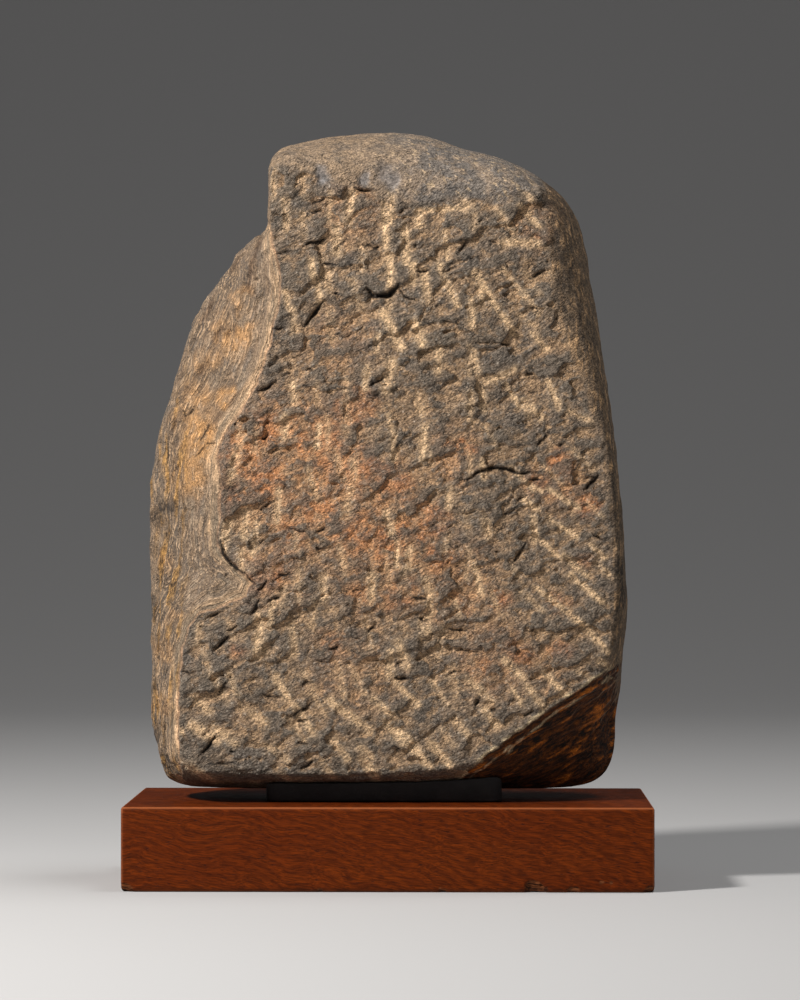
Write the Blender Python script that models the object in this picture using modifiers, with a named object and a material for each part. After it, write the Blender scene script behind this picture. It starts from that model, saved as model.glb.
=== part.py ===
"""A rough-dressed stone stele that stands in a fitted pad on a block of hardwood.

Metres, +Z up. The origin is the middle of the wooden base's underside, the dressed face looks
along -Y, and +X is on the right hand of someone who faces it.
"""

import math

import bmesh
import bpy
from mathutils import Vector

# ---------------------------------------------------------------- driving dimensions

BASE_WIDTH = 0.320
BASE_DEPTH = 0.160
BASE_HEIGHT = 0.051
BASE_EDGE_ROUNDING = 0.0008

PAD_WIDTH = 0.144
PAD_DEPTH = 0.084
PAD_HEIGHT = 0.0178
PAD_MIDDLE_X = -0.003
PAD_CORNER_RADIUS = 0.007
PAD_CORNER_STEPS = 5

FIT_GAP = 0.0003  # every piece stays this far from its neighbour
PAD_GAP = 0.0004  # the pad's hollow is this much larger than the stone

FACE_Y = -0.060  # the dressed face's edge
FACE_SWELL = 0.002  # the face's middle stands this much further forward
HOLLOW_FADE = 6  # how late towards the edge the face's hollows die out
WIDEST_Y = 0.000  # where the stone's outline lies
BACK_Y = 0.052  # the edge of the back
BACK_BULGE = 0.011
BACK_ROUNDING = 0.036
UNDERSIDE_ROUNDING = 0.020  # the back's lower arris is tighter than the rest
BACK_SMOOTHING = 4  # stations to each side that the back's edge is evened out over
OUTLINE_WANDER = 0.007  # how far the outline leaves its plane
OUTLINE_WAVES = 3
OUTLINE_PHASE = 0.6

FACE_MIDDLE = Vector((0.008, 0.248))
BODY_MIDDLE = Vector((0.004, 0.255))

# ---------------------------------------------------------------- the stone's stations
# Stations run clockwise, seen from the front, from the left corner of the head. Each one says where
# the outline is (x, z), where the dressed face ends (x, z), and how full the shoulder between them is:
# 1 is a straight chamfer, 2 a round, 3 a square shoulder with a rounded arris.

STATIONS = (
    ((-0.074, 0.441), (-0.069, 0.432), 2.6),  # head, left corner
    ((-0.068, 0.453), (-0.060, 0.437), 2.2),
    ((-0.054, 0.458), (-0.046, 0.435), 2.0),
    ((-0.030, 0.462), (-0.026, 0.430), 2.0),
    ((-0.004, 0.464), (-0.002, 0.424), 2.0),  # crown
    ((0.022, 0.462), (0.019, 0.420), 2.0),
    ((0.043, 0.454), (0.043, 0.419), 2.0),
    ((0.066, 0.448), (0.067, 0.422), 2.0),
    ((0.086, 0.439), (0.085, 0.416), 2.0),
    ((0.101, 0.428), (0.092, 0.403), 2.0),  # right shoulder
    ((0.114, 0.413), (0.095, 0.388), 2.1),
    ((0.121, 0.391), (0.098, 0.371), 2.1),
    ((0.126, 0.362), (0.103, 0.351), 2.2),
    ((0.132, 0.325), (0.115, 0.324), 2.3),
    ((0.137, 0.288), (0.126, 0.290), 2.5),
    ((0.142, 0.250), (0.133, 0.252), 2.6),
    ((0.145, 0.208), (0.136, 0.210), 2.7),
    ((0.147, 0.172), (0.135, 0.172), 2.6),
    ((0.145, 0.141), (0.132, 0.145), 2.2),
    ((0.143, 0.118), (0.124, 0.127), 1.4),  # lower right facet begins
    ((0.140, 0.096), (0.110, 0.117), 1.1),
    ((0.139, 0.077), (0.092, 0.105), 1.05),
    ((0.131, 0.063), (0.074, 0.091), 1.05),
    ((0.112, 0.0575), (0.057, 0.078), 1.1),  # facet ends at the underside
    ((0.076, 0.0565), (0.040, 0.0730), 1.1),
    ((0.030, 0.0565), (0.012, 0.0705), 1.15),
    ((-0.020, 0.0565), (-0.024, 0.0690), 1.15),
    ((-0.066, 0.0565), (-0.062, 0.0685), 1.15),
    ((-0.106, 0.0570), (-0.096, 0.0700), 1.2),
    ((-0.132, 0.0590), (-0.116, 0.0730), 1.5),  # lower left corner
    ((-0.142, 0.068), (-0.124, 0.0820), 1.8),
    ((-0.146, 0.088), (-0.126, 0.0980), 1.7),
    ((-0.149, 0.115), (-0.126, 0.1180), 1.6),
    ((-0.149, 0.146), (-0.123, 0.1430), 1.5),
    ((-0.150, 0.174), (-0.115, 0.1650), 1.35),
    ((-0.151, 0.203), (-0.100, 0.1930), 1.2),  # foot of the long left fracture
    ((-0.150, 0.232), (-0.101, 0.2220), 1.1),
    ((-0.148, 0.260), (-0.101, 0.2540), 1.1),
    ((-0.142, 0.286), (-0.094, 0.2810), 1.1),
    ((-0.133, 0.311), (-0.080, 0.3030), 1.1),
    ((-0.127, 0.334), (-0.071, 0.3290), 1.15),
    ((-0.117, 0.355), (-0.065, 0.3540), 1.2),
    ((-0.103, 0.375), (-0.065, 0.3740), 1.3),
    ((-0.090, 0.394), (-0.068, 0.3890), 1.4),
    ((-0.076, 0.405), (-0.071, 0.4020), 1.8),  # notch where the fracture meets the head
    ((-0.074, 0.423), (-0.070, 0.4180), 2.8),
)

SHARP_STONE_EDGE = 50.0  # degrees between faces from which an edge is shaded sharp
SHARP_EDGE = 35.0

STEPS_PER_STATION = 2
FACE_RINGS = 14
SHOULDER_RINGS = 10
BACK_SHOULDER_RINGS = 7
BACK_RINGS = 6

# Broad hollows and swellings of the dressed face: middle (x, z), reach along x and z, depth (+ is hollow).
FACE_HOLLOWS = (
    ((-0.030, 0.392), (0.050, 0.022), 0.0030),
    ((-0.028, 0.345), (0.040, 0.020), 0.0034),
    ((0.030, 0.352), (0.026, 0.034), -0.0022),
    ((0.085, 0.360), (0.016, 0.050), 0.0026),
    ((-0.045, 0.268), (0.045, 0.035), 0.0020),
    ((0.060, 0.228), (0.036, 0.026), -0.0028),
    ((0.090, 0.205), (0.030, 0.045), 0.0024),
    ((-0.070, 0.190), (0.034, 0.018), -0.0022),
    ((-0.088, 0.120), (0.028, 0.040), 0.0026),
    ((0.010, 0.120), (0.050, 0.030), 0.0022),
)

# The fractures' shallow ripples: direction they repeat along (x, z), wavelength, height.
LEFT_FLUTES = (Vector((0.55, 0.83)), 0.031, 0.0016)
FACET_RIDGES = (Vector((-0.42, 0.91)), 0.019, 0.0012)
LEFT_FRACTURE = (35, 43)  # first and last station
RIGHT_FACET = (19, 23)

# The boulder's own weathered swell, behind its outline: (wave vector, height).
WEATHERING = (
    (Vector((31.0, 12.0, 22.0)), 0.0026),
    (Vector((-17.0, 40.0, 35.0)), 0.0018),
    (Vector((48.0, -21.0, -43.0)), 0.0010),
)
UNDERSIDE_TOP = 0.075  # the swell starts above the underside
WEATHERING_FADE = 0.040  # and reaches its full height over this much


# ---------------------------------------------------------------- helpers


def clear_scene():
    for thing in list(bpy.data.objects):
        bpy.data.objects.remove(thing)


def collection(name):
    made = bpy.data.collections.new(name)
    bpy.context.scene.collection.children.link(made)
    return made


def material(name, colour, roughness, metallic=0.0):
    made = bpy.data.materials.new(name)
    made.use_nodes = True
    shader = made.node_tree.nodes["Principled BSDF"]
    shader.inputs["Base Color"].default_value = (*colour, 1.0)
    shader.inputs["Roughness"].default_value = roughness
    shader.inputs["Metallic"].default_value = metallic
    return made


def object_from(bm, name, into, finish=None):
    mesh = bpy.data.meshes.new(name)
    bm.to_mesh(mesh)
    bm.free()
    made = bpy.data.objects.new(name, mesh)
    into.objects.link(made)
    if finish:
        mesh.materials.append(finish)
    return made


def curve_through(before, here, after, beyond, share):
    """A point between here and after on a smooth curve through four neighbours."""
    lead = here * 2.0
    slope = (after - before) * share
    bend = (before * 2.0 - here * 5.0 + after * 4.0 - beyond) * share**2
    twist = (here * 3.0 - before - after * 3.0 + beyond) * share**3
    return (lead + slope + bend + twist) * 0.5


def station(step):
    """Outline point, face-edge point and fullness at one of the steps around the stone."""
    place = step / STEPS_PER_STATION
    first = math.floor(place)
    share = place - first
    near = [STATIONS[(first + i) % len(STATIONS)] for i in (-1, 0, 1, 2)]
    outline = curve_through(*(Vector(s[0]) for s in near), share)
    edge = curve_through(*(Vector(s[1]) for s in near), share)
    fullness = near[1][2] * (1.0 - share) + near[2][2] * share
    return outline, edge, fullness


def within(step, stretch):
    """1 in the middle of a stretch of stations, 0 at its ends and outside it."""
    place = step / STEPS_PER_STATION
    first, last = stretch
    if not first < place < last:
        return 0.0
    return math.sin(math.pi * (place - first) / (last - first)) ** 0.5


def ripple(point, ripples):
    direction, wavelength, height = ripples
    return height * math.sin(2.0 * math.pi * point.dot(direction) / wavelength)


def hollow_depth(point):
    """How far the broad hollows set the dressed face back at a point (x, z)."""
    depth = 0.0
    for (x, z), (reach_x, reach_z), deep in FACE_HOLLOWS:
        away = ((point.x - x) / reach_x) ** 2 + ((point.y - z) / reach_z) ** 2
        depth += deep * math.exp(-away)
    return depth


# ---------------------------------------------------------------- the stone


def face_point(edge, share):
    """On the dressed face, share of the way from its middle to its edge."""
    flat = FACE_MIDDLE.lerp(edge, share)
    fade = 1.0 - share**HOLLOW_FADE
    swell = FACE_SWELL * (1.0 - share**2)
    return Vector((flat.x, FACE_Y - swell + hollow_depth(flat) * fade, flat.y))


def shoulder_point(outline, edge, fullness, share, step):
    """Between the face's edge and the outline, on a curve as full as the station says."""
    turn = share * math.pi / 2.0
    out = math.sin(turn) ** (2.0 / fullness)
    back = 1.0 - math.cos(turn) ** (2.0 / fullness)
    flat = edge.lerp(outline, out)
    swelling = math.sin(math.pi * share)
    flutes = within(step, LEFT_FRACTURE) * ripple(flat, LEFT_FLUTES)
    ridges = within(step, RIGHT_FACET) * ripple(flat, FACET_RIDGES)
    depth = FACE_Y + (widest_y(step) - FACE_Y) * back + (flutes + ridges) * swelling
    return Vector((flat.x, depth, flat.y))


def back_edge(step):
    """The back's edge: the outline drawn in, with its corners and notches worn round."""
    reach = BACK_SMOOTHING * STEPS_PER_STATION
    drawn_in = Vector((0.0, 0.0))
    for offset in range(-reach, reach + 1):
        outline = station(step + offset)[0]
        inward = (BODY_MIDDLE - outline).normalized()
        low = max(0.0, inward.y) ** 2  # 1 where the outline runs along the underside
        rounding = BACK_ROUNDING + (UNDERSIDE_ROUNDING - BACK_ROUNDING) * low
        drawn_in += outline + inward * rounding
    return drawn_in / (2 * reach + 1)


def widest_y(step):
    """The outline wanders a little towards the front and the back."""
    turn = 2.0 * math.pi * step / (len(STATIONS) * STEPS_PER_STATION)
    return WIDEST_Y + OUTLINE_WANDER * math.sin(OUTLINE_WAVES * turn + OUTLINE_PHASE)


def back_shoulder_point(outline, share, step):
    turn = share * math.pi / 2.0
    flat = outline.lerp(back_edge(step), 1.0 - math.cos(turn))
    depth = widest_y(step) + (BACK_Y - widest_y(step)) * math.sin(turn)
    return Vector((flat.x, depth, flat.y))


def back_point(share, step):
    flat = back_edge(step).lerp(BODY_MIDDLE, share)
    return Vector((flat.x, BACK_Y + BACK_BULGE * (1.0 - (1.0 - share) ** 2), flat.y))


def stone_point(ring, step):
    """Where a ring and a step of the sphere lie on the stone. Ring 0 is the face's middle."""
    outline, edge, fullness = station(step)
    if ring <= FACE_RINGS:
        return face_point(edge, ring / FACE_RINGS)
    ring -= FACE_RINGS
    if ring <= SHOULDER_RINGS:
        return shoulder_point(outline, edge, fullness, ring / SHOULDER_RINGS, step)
    ring -= SHOULDER_RINGS
    if ring <= BACK_SHOULDER_RINGS:
        return back_shoulder_point(outline, ring / BACK_SHOULDER_RINGS, step)
    return back_point((ring - BACK_SHOULDER_RINGS) / BACK_RINGS, step)


def weathering(point):
    """Pushes the sides and back gently in and out; the underside and the front half stay put."""
    behind = min(1.0, max(0.0, (point.y - WIDEST_Y) / (BACK_Y - WIDEST_Y)))
    above = min(1.0, max(0.0, (point.z - UNDERSIDE_TOP) / WEATHERING_FADE))
    wave = sum(height * math.sin(point.dot(vector)) for vector, height in WEATHERING)
    return wave * behind * above


def stone_mesh(grow=0.0):
    """A sphere whose poles are the middles of face and back, drawn out to the stone's stations."""
    steps = len(STATIONS) * STEPS_PER_STATION
    rings = FACE_RINGS + SHOULDER_RINGS + BACK_SHOULDER_RINGS + BACK_RINGS
    bm = bmesh.new()
    bmesh.ops.create_uvsphere(bm, u_segments=steps, v_segments=rings, radius=1.0)
    for vertex in bm.verts:
        ring = round(math.acos(max(-1.0, min(1.0, vertex.co.z))) / math.pi * rings)
        step = round(math.atan2(vertex.co.y, vertex.co.x) / (2.0 * math.pi) * steps) % steps
        vertex.co = stone_point(ring, step)
    bmesh.ops.recalc_face_normals(bm, faces=bm.faces)
    bm.normal_update()
    shifts = [(v, v.normal * (weathering(v.co) + grow)) for v in bm.verts]
    for vertex, shift in shifts:
        vertex.co += shift
    bmesh.ops.triangulate(bm, faces=bm.faces)
    return bm


def make_stele(into):
    finish = material("dark volcanic stone", (0.115, 0.095, 0.075), 0.85)
    return object_from(stone_mesh(), "stele", into, finish)


# ---------------------------------------------------------------- the pad and the wooden base


def box(name, size, middle, into, finish):
    bm = bmesh.new()
    bmesh.ops.create_cube(bm, size=1.0)
    bmesh.ops.scale(bm, vec=size, verts=bm.verts)
    bmesh.ops.translate(bm, vec=middle, verts=bm.verts)
    return object_from(bm, name, into, finish)


def round_upright_corners(piece, radius, steps):
    bm = bmesh.new()
    bm.from_mesh(piece.data)
    upright = [e for e in bm.edges if abs(e.verts[0].co.z - e.verts[1].co.z) > PAD_HEIGHT / 2.0]
    bmesh.ops.bevel(
        bm, geom=upright, offset=radius, segments=steps, profile=0.5, affect="EDGES"
    )
    bm.to_mesh(piece.data)
    bm.free()


def make_cradle(into, cutters):
    """A block with round upright corners, hollowed by the stone that stands in it."""
    finish = material("matt dark pad", (0.012, 0.012, 0.012), 0.7)
    middle = (PAD_MIDDLE_X, 0.0, BASE_HEIGHT + FIT_GAP + PAD_HEIGHT / 2.0)
    pad = box("cradle", (PAD_WIDTH, PAD_DEPTH, PAD_HEIGHT), middle, into, finish)
    round_upright_corners(pad, PAD_CORNER_RADIUS, PAD_CORNER_STEPS)
    cutter = object_from(stone_mesh(grow=PAD_GAP), "stone_hollow", cutters)
    cutter.hide_render = True
    cutter.display_type = "WIRE"
    cut = pad.modifiers.new("stone hollow", "BOOLEAN")
    cut.operation = "DIFFERENCE"
    cut.solver = "EXACT"
    cut.object = cutter
    return pad


def make_wooden_base(into):
    finish = material("red-brown hardwood", (0.105, 0.026, 0.010), 0.5)
    middle = (0.0, 0.0, BASE_HEIGHT / 2.0)
    block = box("wooden_base", (BASE_WIDTH, BASE_DEPTH, BASE_HEIGHT), middle, into, finish)
    rounding = block.modifiers.new("arris", "BEVEL")
    rounding.width = BASE_EDGE_ROUNDING
    rounding.segments = 2
    rounding.limit_method = "ANGLE"
    return block


def shade(piece, angle):
    piece.data.shade_smooth()
    piece.data.set_sharp_from_angle(angle=math.radians(angle))


def build():
    clear_scene()
    parts = collection("stone_stele")
    cutters = collection("cutters")
    stele = make_stele(parts)
    cradle = make_cradle(parts, cutters)
    base = make_wooden_base(parts)
    shade(stele, SHARP_STONE_EDGE)
    shade(cradle, SHARP_EDGE)
    shade(base, SHARP_EDGE)


build()
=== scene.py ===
# %% [markdown]
# # A rough-dressed stone stele on its wooden base
#
# The object is three things that stand on each other: a block of dark volcanic stone with one
# dressed face, a dark fitted pad under it, and a plain block of red-brown hardwood. The construction
# model already holds their true sizes, so this lesson gives each of them its surface: first as real
# relief in the mesh, and then as colour.
#
# The first step loads the construction model. Its box is kept, because nothing made here may grow
# out of it.

# %% Load the construction model
import itertools
import math

import bpy
import numpy as np
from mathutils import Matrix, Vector


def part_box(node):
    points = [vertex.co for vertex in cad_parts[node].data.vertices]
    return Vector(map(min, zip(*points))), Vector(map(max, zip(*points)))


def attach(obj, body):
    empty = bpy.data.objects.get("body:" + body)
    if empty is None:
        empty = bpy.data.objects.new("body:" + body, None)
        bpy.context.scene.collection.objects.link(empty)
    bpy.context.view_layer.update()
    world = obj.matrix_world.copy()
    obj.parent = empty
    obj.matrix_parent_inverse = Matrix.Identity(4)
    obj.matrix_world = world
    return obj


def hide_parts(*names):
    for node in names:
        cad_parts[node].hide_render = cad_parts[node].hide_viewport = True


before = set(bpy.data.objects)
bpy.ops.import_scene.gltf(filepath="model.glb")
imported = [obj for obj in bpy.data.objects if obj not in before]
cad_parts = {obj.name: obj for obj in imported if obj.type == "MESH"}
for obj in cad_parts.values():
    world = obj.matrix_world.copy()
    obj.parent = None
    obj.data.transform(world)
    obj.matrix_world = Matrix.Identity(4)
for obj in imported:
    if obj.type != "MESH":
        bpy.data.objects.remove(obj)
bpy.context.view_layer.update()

MM = 0.001
BODY = "root"

# %% [markdown]
# ## Small habits used all the way through
#
# Blender's operators act on whatever is selected and active, so each step starts by making one
# object the only selected one. A modifier is a recipe that stays live until it is applied; here
# each one is applied at once, so that the next step works on plain points.


# %% Select, and add and apply a modifier
def make_active(piece):
    if bpy.context.object and bpy.context.object.mode != "OBJECT":
        bpy.ops.object.mode_set(mode="OBJECT")
    bpy.ops.object.select_all(action="DESELECT")
    piece.select_set(True)
    bpy.context.view_layer.objects.active = piece


def apply_modifier(piece, kind, **settings):
    make_active(piece)
    modifier = piece.modifiers.new(kind.lower(), kind)
    for name, value in settings.items():
        setattr(modifier, name, value)
    bpy.ops.object.modifier_apply(modifier=modifier.name)
    print(f"{piece.name}: {kind.lower()} applied, {len(piece.data.polygons)} faces")


# %% Copy a construction node
def copy_of(node, name):
    """A fresh object with a copy of a construction node's mesh, its loose triangles joined up."""
    piece = bpy.data.objects.new(name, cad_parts[node].data.copy())
    bpy.context.scene.collection.objects.link(piece)
    piece.data.materials.clear()
    make_active(piece)
    bpy.ops.object.mode_set(mode="EDIT")
    bpy.ops.mesh.select_all(action="SELECT")
    bpy.ops.mesh.remove_doubles(threshold=0.01 * MM)
    bpy.ops.object.mode_set(mode="OBJECT")
    return piece


# %% Select edges, read points and move them
def select_edges(piece, test):
    """Goes into edit mode with just the edges selected whose two corners both pass the test."""
    make_active(piece)
    bpy.ops.object.mode_set(mode="EDIT")
    bpy.ops.mesh.select_mode(type="EDGE")
    bpy.ops.mesh.select_all(action="DESELECT")
    bpy.ops.object.mode_set(mode="OBJECT")
    corners = piece.data.vertices
    for edge in piece.data.edges:
        edge.select = all(test(corners[number].co) for number in edge.vertices)
    bpy.ops.object.mode_set(mode="EDIT")


def points_of(piece):
    flat = np.empty(len(piece.data.vertices) * 3, np.float32)
    piece.data.vertices.foreach_get("co", flat)
    return flat.reshape(-1, 3).astype(float)


def normals_of(piece):
    flat = np.empty(len(piece.data.vertices) * 3, np.float32)
    piece.data.vertex_normals.foreach_get("vector", flat)
    return flat.reshape(-1, 3).astype(float)


def move_points(piece, points):
    piece.data.vertices.foreach_set("co", points.astype(np.float32).ravel())
    piece.data.update()


def triangle_count(piece):
    return sum(len(face.vertices) - 2 for face in piece.data.polygons)


# %% [markdown]
# ## Camera
#
# The camera stands level, a little to the right of the stone and more than two metres away, with a
# long lens, so upright edges stay upright. A small upward shift of the frame gives the object its
# place in the picture without tilting the camera.

# %% Camera
bpy.ops.object.camera_add(
    location=(0.0459, -2.236, 0.2201), rotation=(math.radians(90.0), 0.0, math.radians(1.018))
)
camera = bpy.context.object
camera.name = "camera"
camera.data.sensor_width = 36.0
camera.data.lens = 129.6
camera.data.shift_y = 0.025
bpy.context.scene.camera = camera
print("camera lens", camera.data.lens)

# %% [markdown]
# ## Floor and light
#
# A pale floor whose far edge is drawn up into a soft sweep, so that no line crosses the picture
# behind the stone. One small lamp high on the left rakes across the dressed face and so draws every
# chisel mark. A weak wide lamp on the right opens the shadows, and a third hangs above the head.

# %% Floor
FLOOR_SIZE, WALL_HEIGHT, SWEEP_RADIUS = 12.0, 6.0, 4.0
far_edge = FLOOR_SIZE / 2.0 - 0.1
bpy.ops.mesh.primitive_plane_add(size=FLOOR_SIZE, location=(0.0, 0.0, 0.0))
floor = bpy.context.object
floor.name = "floor"
select_edges(floor, lambda place: place.y > far_edge)
bpy.ops.mesh.extrude_region_move(TRANSFORM_OT_translate={"value": (0.0, 0.0, WALL_HEIGHT)})
select_edges(floor, lambda place: place.y > far_edge and place.z < 0.1)
bpy.ops.mesh.bevel(offset=SWEEP_RADIUS, segments=24, affect="EDGES")
bpy.ops.object.mode_set(mode="OBJECT")
bpy.ops.object.shade_smooth()
floor_finish = bpy.data.materials.new("pale floor")
floor_finish.use_nodes = True
floor_shader = floor_finish.node_tree.nodes["Principled BSDF"]
floor_shader.inputs["Base Color"].default_value = (0.48, 0.475, 0.47, 1.0)
floor_shader.inputs["Roughness"].default_value = 0.9
floor.data.materials.append(floor_finish)
print("floor sweep:", len(floor.data.polygons), "faces")


# %% Lamps
def lamp(name, place, target, size, power, colour):
    bpy.ops.object.light_add(type="AREA", location=place)
    made = bpy.context.object
    made.name = name
    made.rotation_euler = (Vector(target) - Vector(place)).to_track_quat("-Z", "Y").to_euler()
    made.data.shape = "DISK"
    made.data.size = size
    made.data.energy = power
    made.data.color = colour
    return made


STONE_MIDDLE = (0.0, 0.0, 0.25)
lamp("key lamp", (-1.10, -0.92, 1.20), STONE_MIDDLE, 0.22, 43.0, (1.0, 0.975, 0.95))
lamp("fill lamp", (1.6, -1.9, 0.9), STONE_MIDDLE, 1.4, 3.0, (0.95, 0.97, 1.0))
lamp("top lamp", (0.55, 0.0, 1.9), STONE_MIDDLE, 0.7, 13.0, (1.0, 1.0, 1.0))

world = bpy.data.worlds.new("studio")
world.use_nodes = True
world.node_tree.nodes["Background"].inputs["Color"].default_value = (0.80, 0.80, 0.82, 1.0)
world.node_tree.nodes["Background"].inputs["Strength"].default_value = 0.14
bpy.context.scene.world = world
bpy.context.scene.view_settings.view_transform = "Standard"

# %% [markdown]
# ## Noise, the raw material of rock
#
# Rock has no two places alike, so its shape needs numbers that look random but come out the same
# each time. Two kinds do nearly all the work. Soft noise gives lumps of one size: every corner of a
# grid gets a made-up slope, and the slopes are blended between the corners. Cell noise scatters one
# seed in every cell of a grid and asks which seed is nearest: it gives the flat-sided chips and
# scallops that a hammer leaves.


# %% Soft noise
def lattice_number(cells, seed):
    """A repeatable number from 0 to 1 for each whole-number grid point."""
    mixed = cells[..., 0] * 73856093 ^ cells[..., 1] * 19349663 ^ cells[..., 2] * 83492791
    mixed = mixed ^ (seed * 97531 + 12345)
    mixed = ((mixed ^ (mixed >> 13)) * 1274126177) & 0x7FFFFFFF
    mixed = ((mixed ^ (mixed >> 15)) * 1103515245 + 12345) & 0x7FFFFFFF
    return (mixed >> 7 & 0xFFFF) / 65535.0


def lattice_vector(cells, seed):
    return np.stack([lattice_number(cells, seed * 3 + axis) for axis in range(3)], axis=-1)


def lumps(points, size, seed):
    """Soft noise with lumps of about this size, from about -1 to 1."""
    scaled = points / size
    cells = np.floor(scaled).astype(np.int64)
    inside = scaled - cells
    fade = inside**3 * (inside * (inside * 6.0 - 15.0) + 10.0)
    total = np.zeros(len(points))
    for corner in itertools.product((0, 1), repeat=3):
        slope = lattice_vector(cells + np.array(corner), seed) * 2.0 - 1.0
        height = ((inside - np.array(corner)) * slope).sum(axis=1)
        total += height * np.where(corner, fade, 1.0 - fade).prod(axis=1)
    return total * 1.8


def rough_lumps(points, size, seed, layers):
    """Several layers of soft noise, each half as large and half as strong as the last."""
    total = np.zeros(len(points))
    for layer in range(layers):
        total += lumps(points, size / 2**layer, seed + layer * 17) / 2**layer
    return total


# %% Cell noise
def nearest_seeds(points, size, seed):
    """For each point: the distances to its two nearest seeds in cell sizes, the way from the
    nearest seed to the point in metres, and three made-up numbers that belong to that seed."""
    scaled = points / size
    home = np.floor(scaled).astype(np.int64)
    first = np.full(len(points), 9.0)
    second = np.full(len(points), 9.0)
    away = np.zeros_like(points)
    owner = np.zeros_like(home)
    for step in itertools.product((-1, 0, 1), repeat=3):
        cells = home + np.array(step)
        gap = scaled - (cells + lattice_vector(cells, seed))
        distance = np.sqrt((gap**2).sum(axis=1))
        nearer = distance < first
        second = np.where(nearer, first, np.minimum(second, distance))
        first = np.where(nearer, distance, first)
        away[nearer] = gap[nearer] * size
        owner[nearer] = cells[nearer]
    return first, second, away, lattice_vector(owner, seed + 101)


def ramp(values, low, high):
    """0 below low, 1 above high, and a smooth S between them."""
    share = np.clip((values - low) / (high - low), 0.0, 1.0)
    return share * share * (3.0 - 2.0 * share)


# %% [markdown]
# ## The stone: a skin fine enough to carve
#
# The construction model of the stone is a smooth, coarse cage. A copy of it is rounded by
# subdivision and then remeshed: the Remesh modifier lays a new, even skin of small squares over the
# whole block, which is what a relief needs, since it can only be as fine as its points.

# %% The stone's blank
stone = copy_of("stele", "stone")
apply_modifier(stone, "SUBSURF", levels=2, render_levels=2)
apply_modifier(stone, "REMESH", mode="VOXEL", voxel_size=0.95 * MM, adaptivity=0.0)
apply_modifier(stone, "SMOOTH", factor=0.5, iterations=6)
print("stone blank:", triangle_count(stone), "triangles")

# %% [markdown]
# ## Where each kind of surface lies
#
# The block has six kinds of surface: the dressed face, the smooth worn cap, the long fracture on the
# left, the small dark fracture at the lower right, the weathered right side, and the back. The
# borders between them are drawn as lines on the front, in metres across and up, and every point
# learns how far it is from each line and on which side of it.


# %% Lines on the front
def along_line(points, line):
    """Signed distance from a line of (x, z) corners, + on its left hand, and the share of its
    length at which each point is nearest."""
    flat = points[:, (0, 2)]
    corners = np.array(line, float)
    lengths = np.linalg.norm(np.diff(corners, axis=0), axis=1)
    starts = np.concatenate([[0.0], np.cumsum(lengths)])
    best = np.full(len(flat), 9.0)
    side = np.zeros(len(flat))
    share = np.zeros(len(flat))
    for index, length in enumerate(lengths):
        way = (corners[index + 1] - corners[index]) / length
        offset = flat - corners[index]
        along = np.clip(offset @ way, 0.0, length)
        gap = offset - along[:, None] * way
        distance = np.linalg.norm(gap, axis=1)
        nearer = distance < best
        best[nearer] = distance[nearer]
        side[nearer] = np.sign(way[0] * offset[nearer, 1] - way[1] * offset[nearer, 0])
        share[nearer] = (starts[index] + along[nearer]) / starts[-1]
    return best * side, share


# %% The borders
FRACTURE_EDGE = (  # the dressed face's left border, from the head down to where it fades out
    (-0.072, 0.470), (-0.071, 0.404), (-0.068, 0.389), (-0.065, 0.375), (-0.064, 0.365),
    (-0.065, 0.356), (-0.068, 0.344), (-0.070, 0.332), (-0.073, 0.320), (-0.080, 0.303),
    (-0.089, 0.288), (-0.099, 0.275), (-0.102, 0.268), (-0.102, 0.253), (-0.101, 0.240),
    (-0.103, 0.217), (-0.102, 0.208), (-0.098, 0.201), (-0.092, 0.196), (-0.086, 0.192),
    (-0.081, 0.186), (-0.086, 0.176), (-0.100, 0.170), (-0.112, 0.166), (-0.120, 0.158),
    (-0.125, 0.140), (-0.127, 0.120), (-0.127, 0.095), (-0.125, 0.060),
)
FACET_EDGE = (  # the small lower right fracture's upper border, from left to right
    (0.040, 0.060), (0.050, 0.0735), (0.060, 0.082), (0.069, 0.088), (0.079, 0.096),
    (0.087, 0.102), (0.098, 0.110), (0.107, 0.116), (0.117, 0.122), (0.129, 0.130), (0.160, 0.146),
)
CAP_EDGE = (  # the worn cap's lower border, from left to right
    (-0.090, 0.437), (-0.068, 0.438), (-0.052, 0.433), (-0.034, 0.428), (-0.024, 0.426),
    (-0.008, 0.423), (0.010, 0.416), (0.030, 0.415), (0.048, 0.417), (0.062, 0.414),
    (0.076, 0.418), (0.088, 0.424), (0.120, 0.440),
)
RIGHT_EDGE = (  # the dressed face's right border, from the top down
    (0.090, 0.450), (0.094, 0.421), (0.097, 0.395), (0.097, 0.368), (0.102, 0.345),
    (0.112, 0.320), (0.121, 0.295), (0.128, 0.265), (0.133, 0.235), (0.135, 0.205),
    (0.135, 0.170), (0.134, 0.140), (0.130, 0.125),
)
print("border lengths in mm:", [
    round(sum(math.dist(a, b) for a, b in itertools.pairwise(line)) / MM)
    for line in (FRACTURE_EDGE, FACET_EDGE, CAP_EDGE, RIGHT_EDGE)
])

# %% Shares of each kind of surface
EDGE_WANDER = 1.4 * MM  # the borders are not drawn with a ruler
DEPTH_WANDER = 0.014  # nor is the line at the back where the long fracture fades out


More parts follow.
